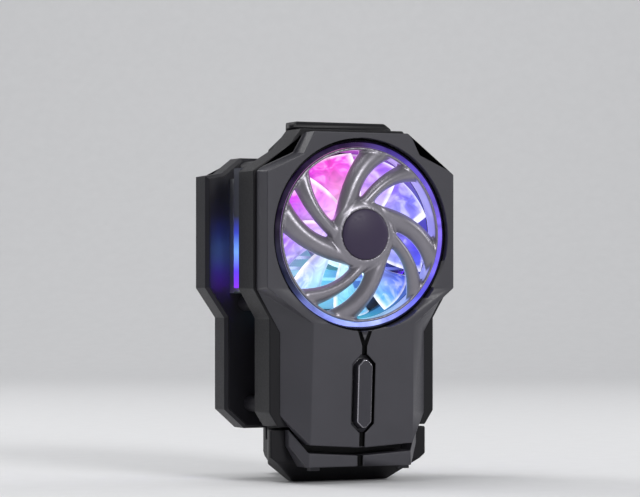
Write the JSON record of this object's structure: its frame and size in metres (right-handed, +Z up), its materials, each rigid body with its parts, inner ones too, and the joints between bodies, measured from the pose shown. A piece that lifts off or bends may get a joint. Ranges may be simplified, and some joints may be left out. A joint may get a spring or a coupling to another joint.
{
  "type": "clip-on phone cooling fan",
  "caption": "Clip-on phone cooler with a swirl-grilled fan, finned heat sink, cold plate, lit ring, mode key, fixed upper claw and sprung lower jaw.",
  "frame": {"origin": "centre of the bounding box's bottom, under the foot", "axes": "+Z up, -Y out of the fan's front, +Y towards the phone, +X towards the power socket's side"},
  "size_m": [0.0626, 0.048, 0.0899],
  "materials": {
    "cover": "satin moulded",
    "shroud": "satin moulded",
    "base": "satin moulded",
    "grille": "satin moulded",
    "badge": "satin",
    "key": "satin moulded",
    "bezel": "gloss",
    "light_guide": "frosted, lit",
    "side_light": "frosted, lit",
    "led": "moulded",
    "fan": "clear tinted",
    "board": "solder mask",
    "nylon": "moulded",
    "steel": "satin",
    "aluminium": "satin",
    "brass": "sintered",
    "copper": "enamelled wire",
    "magnet": "plated",
    "ceramic": "matte",
    "soft": "matte"
  },
  "bodies": {
    "housing": {"front_cover": "cover", "bezel_ring": "bezel", "light_ring": "light_guide", "led_board": "board", "leds": "led", "fan_grille": "grille", "hub_badge": "badge", "tact_switch": "steel", "control_board": "board", "usb_socket": "steel", "bay_cover": "base", "cover_screws": "steel", "shroud_frame": "shroud", "side_lights": "side_light", "motor_base": "shroud", "motor_board": "board", "stator_core": "steel", "windings": "copper", "bearing_sleeve": "brass", "heat_sink": "aluminium", "peltier_module": "ceramic", "cold_plate": "aluminium", "cooling_pad": "soft", "base_plate": "base", "case_screws": "steel", "upper_jaw": "shroud", "upper_jaw_pad": "soft", "jaw_screws": "steel", "jaw_springs": "steel"},
    "fan": {"impeller": "fan", "rotor_magnet": "magnet", "fan_shaft": "steel"},
    "jaw": {"lower_jaw": "shroud", "lower_lip": "cover", "lower_jaw_pad": "soft"},
    "key": {"mode_key": "key", "switch_plunger": "nylon"}
  },
  "joints": [
    {"name": "fan_spin", "type": "hinge", "parent": "housing", "child": "fan", "pos_m": [0, 0, 0.0615], "axis": [0, 1, 0], "continuous": true},
    {"name": "jaw_slide", "type": "slide", "parent": "housing", "child": "jaw", "axis": [0, 0, -1], "range_m": [0, 0.017], "stiffness_N_per_m": 300, "springref_m": -0.02, "deforming": ["jaw_springs"]},
    {"name": "key_press", "type": "slide", "parent": "housing", "child": "key", "axis": [0, 1, 0], "range_m": [0, 0.0006], "stiffness_N_per_m": 1200, "springref_m": -0.0004}
  ]
}
